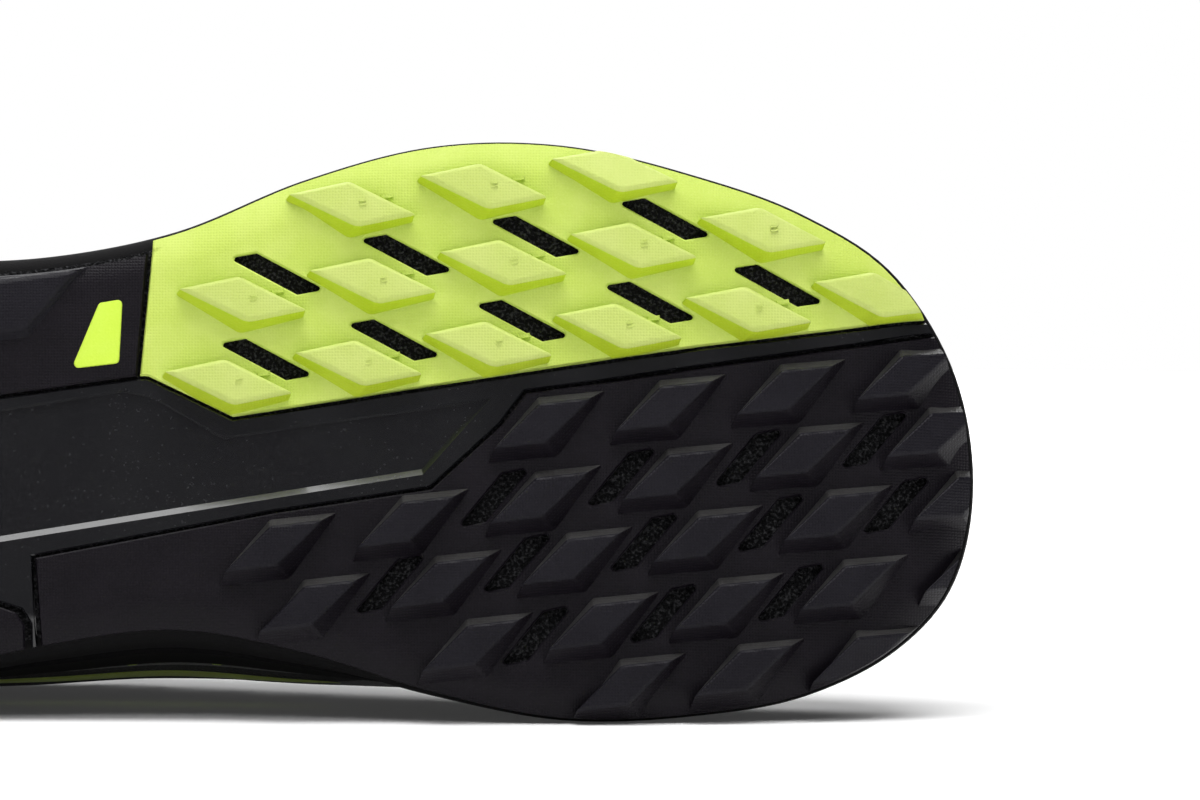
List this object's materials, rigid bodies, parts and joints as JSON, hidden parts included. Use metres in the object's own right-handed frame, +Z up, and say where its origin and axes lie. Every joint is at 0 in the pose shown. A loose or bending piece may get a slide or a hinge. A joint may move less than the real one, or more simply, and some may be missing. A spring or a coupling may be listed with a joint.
{
  "type": "trail running shoe",
  "caption": "Right trail running shoe lying on its medial side, with lugged two-tone outsole plates, foam midsole, hollow upper, tongue, insole and lace.",
  "frame": {"origin": "middle of the shoe's bounding box in plan, on the floor that it lies on", "axes": "+Z up from the floor; +X from heel to toe, within one degree; the sole faces -Y and leans back by 8 degrees"},
  "size_m": [0.3014, 0.121, 0.1113],
  "materials": {
    "lime_rubber": "satin lime rubber",
    "black_rubber": "satin black rubber",
    "smoke_gloss": "glossy dark plastic",
    "black_foam": "matt black foam",
    "black_mesh": "black woven mesh",
    "black_lining": "black knitted lining",
    "black_lace": "black flat webbing"
  },
  "bodies": {
    "root": {"outsole_lateral_forefoot": "lime_rubber", "outsole_medial_forefoot": "black_rubber", "outsole_lateral_midfoot": "black_rubber", "outsole_heel": "black_rubber", "midfoot_window": "smoke_gloss", "midsole": "black_foam", "insole": "black_lining", "upper": "black_mesh", "tongue": "black_lining", "lace": "black_lace", "heel_pull_loop": "black_lace"}
  },
  "joints": []
}
